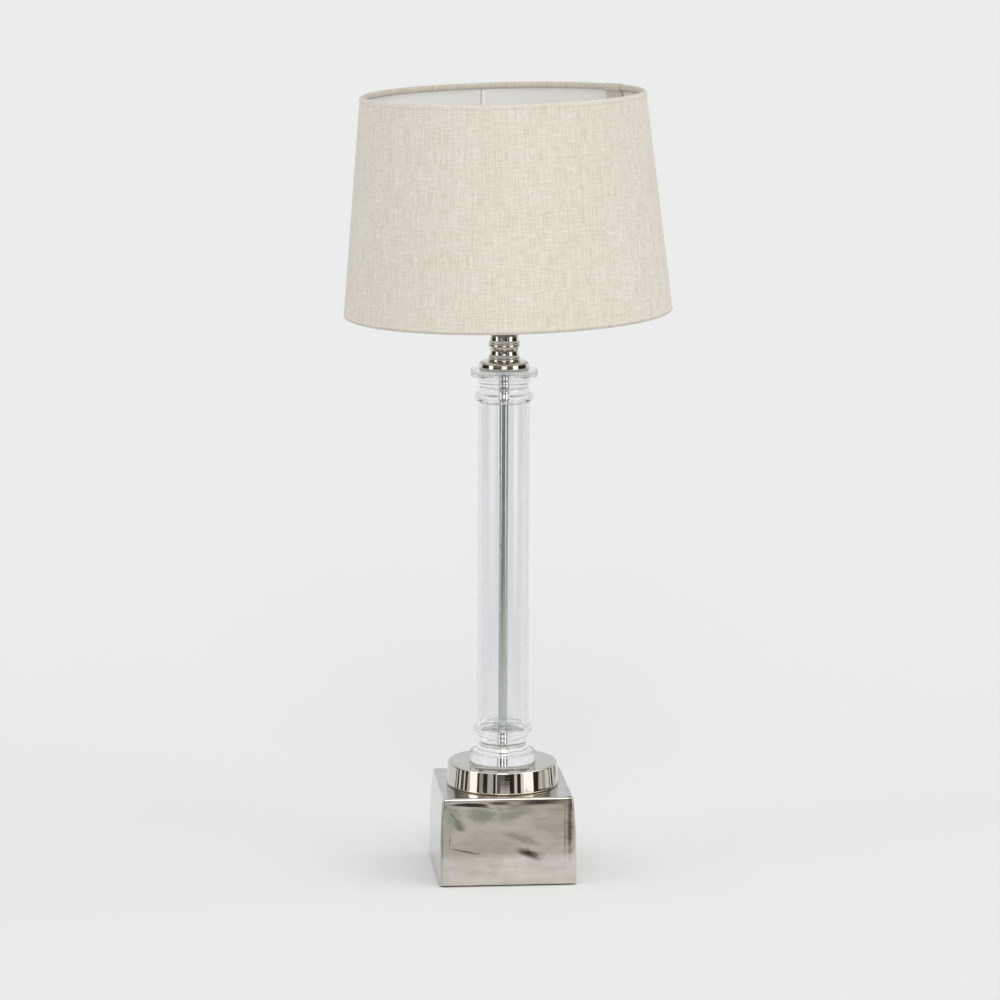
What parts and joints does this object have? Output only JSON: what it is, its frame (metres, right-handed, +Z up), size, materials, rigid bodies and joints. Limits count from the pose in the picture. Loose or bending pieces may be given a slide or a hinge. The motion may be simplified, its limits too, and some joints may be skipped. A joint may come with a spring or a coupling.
{
  "type": "candlestick table lamp",
  "caption": "Table lamp with a nickel-plated block base, a clear glass column on a centre rod, a turned neck, a screw lampholder and a tapered linen drum shade that turns and lifts off.",
  "frame": {"origin": "centre of the felt pad's resting face, on the lamp's axis", "axes": "+Z up along the rod; the lamp's front faces -Y, with the cable inlet at the back, +Y"},
  "size_m": [0.3469, 0.347, 0.8408],
  "materials": {
    "nickel_casting": "hand-polished nickel plate",
    "nickel_turned": "polished nickel plate",
    "clear_glass": "polished clear glass",
    "rod_steel": "zinc-plated steel tube",
    "steel": "zinc plate",
    "cast_iron": "black painted casting",
    "brass": "plain brass",
    "felt": "black felt",
    "rubber": "black rubber",
    "clear_vinyl": "clear soft vinyl",
    "black_moulding": "black moulded plastic",
    "white_moulding": "white moulded plastic",
    "ceramic": "white glazed ceramic",
    "brown_sleeve": "brown insulation",
    "blue_sleeve": "blue insulation",
    "green_yellow_sleeve": "green and yellow insulation",
    "white_wire": "white coated wire",
    "lining": "white laminated backing",
    "linen": "natural linen weave"
  },
  "bodies": {
    "lamp": {"felt_pad": "felt", "base_plate": "steel", "base_screws": "steel", "base_block": "nickel_casting", "cable_bush": "rubber", "ballast_weight": "cast_iron", "clamp_washer": "steel", "earth_tag": "brass", "clamp_nut": "steel", "terminal_block": "white_moulding", "way_screws": "steel", "block_screw": "steel", "live_lead": "brown_sleeve", "neutral_lead": "blue_sleeve", "earth_lead": "green_yellow_sleeve", "centre_rod": "rod_steel", "plinth_disc": "nickel_casting", "lower_gasket": "clear_vinyl", "glass_foot": "clear_glass", "glass_tube": "clear_glass", "glass_capital": "clear_glass", "upper_gasket": "clear_vinyl", "neck_flange": "nickel_turned", "neck_spindle": "nickel_turned", "lampholder_cap": "black_moulding", "lampholder_core": "ceramic", "side_terminal": "brass", "centre_contact": "brass", "screw_shell": "brass", "lampholder_skirt": "black_moulding", "lower_shade_ring": "black_moulding"},
    "retaining_ring": {"upper_shade_ring": "black_moulding"},
    "shade": {"shade_hub": "white_wire", "shade_spokes": "white_wire", "shade_bottom_wire": "white_wire", "shade_top_wire": "white_wire", "shade_lining": "lining", "shade_cover": "linen"}
  },
  "joints": [
    {"name": "ring_lift", "type": "slide", "parent": "lamp", "child": "retaining_ring", "axis": [0, 0, 1], "range_m": [0, 0.1]},
    {"name": "shade_turn", "type": "hinge", "parent": "retaining_ring", "child": "shade", "pos_m": [0, 0, 0.6346], "axis": [0, 0, 1], "continuous": true}
  ]
}
